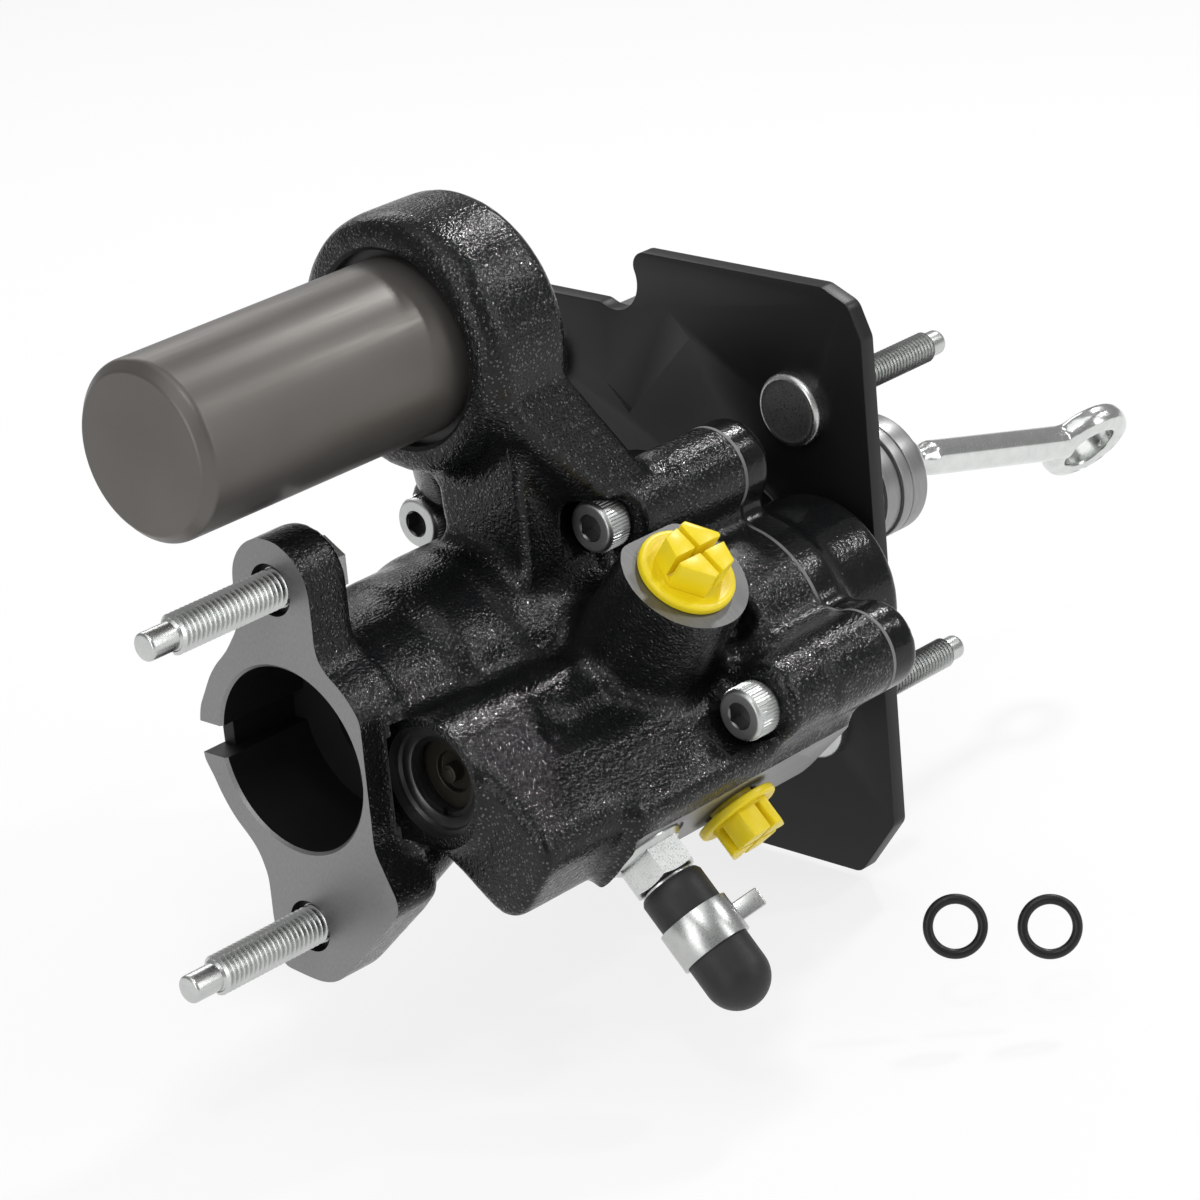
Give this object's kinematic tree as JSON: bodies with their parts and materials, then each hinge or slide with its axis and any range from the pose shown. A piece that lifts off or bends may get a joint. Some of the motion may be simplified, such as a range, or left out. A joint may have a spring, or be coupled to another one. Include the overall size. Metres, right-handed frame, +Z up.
{
  "type": "hydraulic brake booster",
  "caption": "Hydraulic power brake booster: cast body with accumulator, spool valve, power piston, firewall bracket and pedal rod.",
  "frame": {"origin": "centre of the pilot bore at the machined face of the master cylinder flange", "axes": "+X from the flange back to the pedal, along the power piston; +Z up, through the upper master cylinder stud; -Y towards the spool valve"},
  "size_m": [0.3589, 0.2134, 0.2006],
  "materials": {
    "black_casting": "gloss black paint over a rough cast skin",
    "gasket": "matt",
    "can_grey": "satin",
    "spring_steel": "black oxide",
    "seal_rubber": "matt",
    "ground_steel": "ground",
    "lever_steel": "plain",
    "zinc": "bright zinc",
    "dark_steel": "oiled",
    "clamp_steel": "satin",
    "cap_yellow": "semi gloss",
    "bracket_black": "satin",
    "coil_steel": "oiled"
  },
  "bodies": {
    "body": {"housing": "black_casting", "rear_cover": "black_casting", "cover_gasket": "gasket", "accumulator_can": "can_grey", "accumulator_retainer": "spring_steel", "accumulator_oring": "seal_rubber", "flange_studs": "zinc", "valve_plug": "dark_steel", "valve_plug_ring": "spring_steel", "cover_screws": "zinc", "pressure_port_cap": "cap_yellow", "lower_port_cap": "cap_yellow", "return_fitting": "zinc", "return_cap": "seal_rubber", "return_clamp": "clamp_steel", "mounting_bracket": "bracket_black", "bracket_studs": "zinc", "bracket_nut": "dark_steel", "snout_end_ring": "dark_steel", "input_seal": "seal_rubber", "spring_seat": "dark_steel", "return_spring": "coil_steel", "spool_spring": "coil_steel", "port_orings": "seal_rubber"},
    "input": {"input_plunger": "ground_steel", "plunger_pin": "ground_steel"},
    "collar": {"rod_collar": "zinc"},
    "rod": {"pedal_rod": "zinc"},
    "piston": {"power_piston": "ground_steel", "piston_seal": "seal_rubber", "output_rod": "ground_steel", "lever_pin": "ground_steel"},
    "lever": {"valve_lever": "lever_steel"},
    "sleeve": {"valve_sleeve": "ground_steel"},
    "spool": {"spool_valve": "ground_steel"},
    "charge": {"accumulator_piston": "ground_steel"}
  },
  "joints": [
    {"name": "input_slide", "type": "slide", "parent": "body", "child": "input", "axis": [-1, 0, 0], "range_m": [0, 0.0265], "stiffness_N_per_m": 1500, "springref_m": -0.02},
    {"name": "piston_slide", "type": "slide", "parent": "body", "child": "piston", "axis": [-1, 0, 0], "range_m": [0, 0.02601], "deforming": ["return_spring"]},
    {"name": "lever_turn", "type": "hinge", "parent": "piston", "child": "lever", "pos_m": [0.122, 0.013, -0.00125], "axis": [0, 0, -1], "range_deg": [0, 2.22]},
    {"name": "sleeve_slide", "type": "slide", "parent": "body", "child": "sleeve", "axis": [-1, 0, 0], "range_m": [0, 0.02753]},
    {"name": "spool_slide", "type": "slide", "parent": "body", "child": "spool", "axis": [-1, 0, 0], "range_m": [0, 0.003], "deforming": ["spool_spring"]},
    {"name": "rod_turn", "type": "hinge", "parent": "input", "child": "collar", "pos_m": [0.226, 0, 0], "axis": [1, 0, 0], "range_deg": [-180, 180]},
    {"name": "rod_tilt", "type": "hinge", "parent": "collar", "child": "rod", "pos_m": [0.226, 0, 0], "axis": [0, -1, 0], "range_deg": [0, 28]},
    {"name": "charge_slide", "type": "slide", "parent": "body", "child": "charge", "axis": [-1, 0, 0], "range_m": [0, 0.055], "stiffness_N_per_m": 300, "springref_m": -0.05}
  ],
  "couplings": [
    {"joint": "piston_slide", "follows": "input_slide", "ratio": 0.98113},
    {"joint": "lever_turn", "follows": "input_slide", "rad_per_m": 1.4514},
    {"joint": "sleeve_slide", "follows": "input_slide", "ratio": 1.0382},
    {"joint": "spool_slide", "follows": "input_slide", "ratio": 0.11317}
  ]
}
